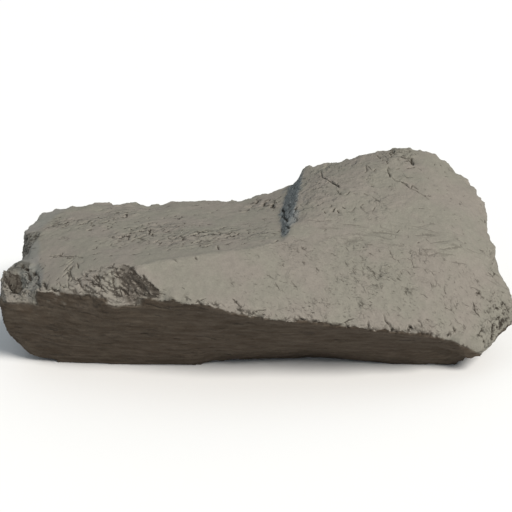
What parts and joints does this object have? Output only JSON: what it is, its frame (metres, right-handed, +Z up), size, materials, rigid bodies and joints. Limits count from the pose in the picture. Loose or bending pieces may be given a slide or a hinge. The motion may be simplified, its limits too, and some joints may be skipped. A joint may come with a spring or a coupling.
{
  "type": "moon rock",
  "caption": "Long, low block of grey lunar stone with a flat seat, an undercut front, a lower shelf at one end and a raised, sloping block at the other.",
  "frame": {"origin": "centre of the bounding box, at the level of the flat seat", "axes": "+X along the rock's length, from the low shelf towards the raised block; +Y from the undercut front to the broken back; +Z up from the seat"},
  "size_m": [0.3036, 0.172, 0.1034],
  "materials": {
    "stone": "dull, rough grey-brown broken stone with a brown dusty underside"
  },
  "bodies": {
    "root": {"rock": "stone"}
  },
  "joints": []
}
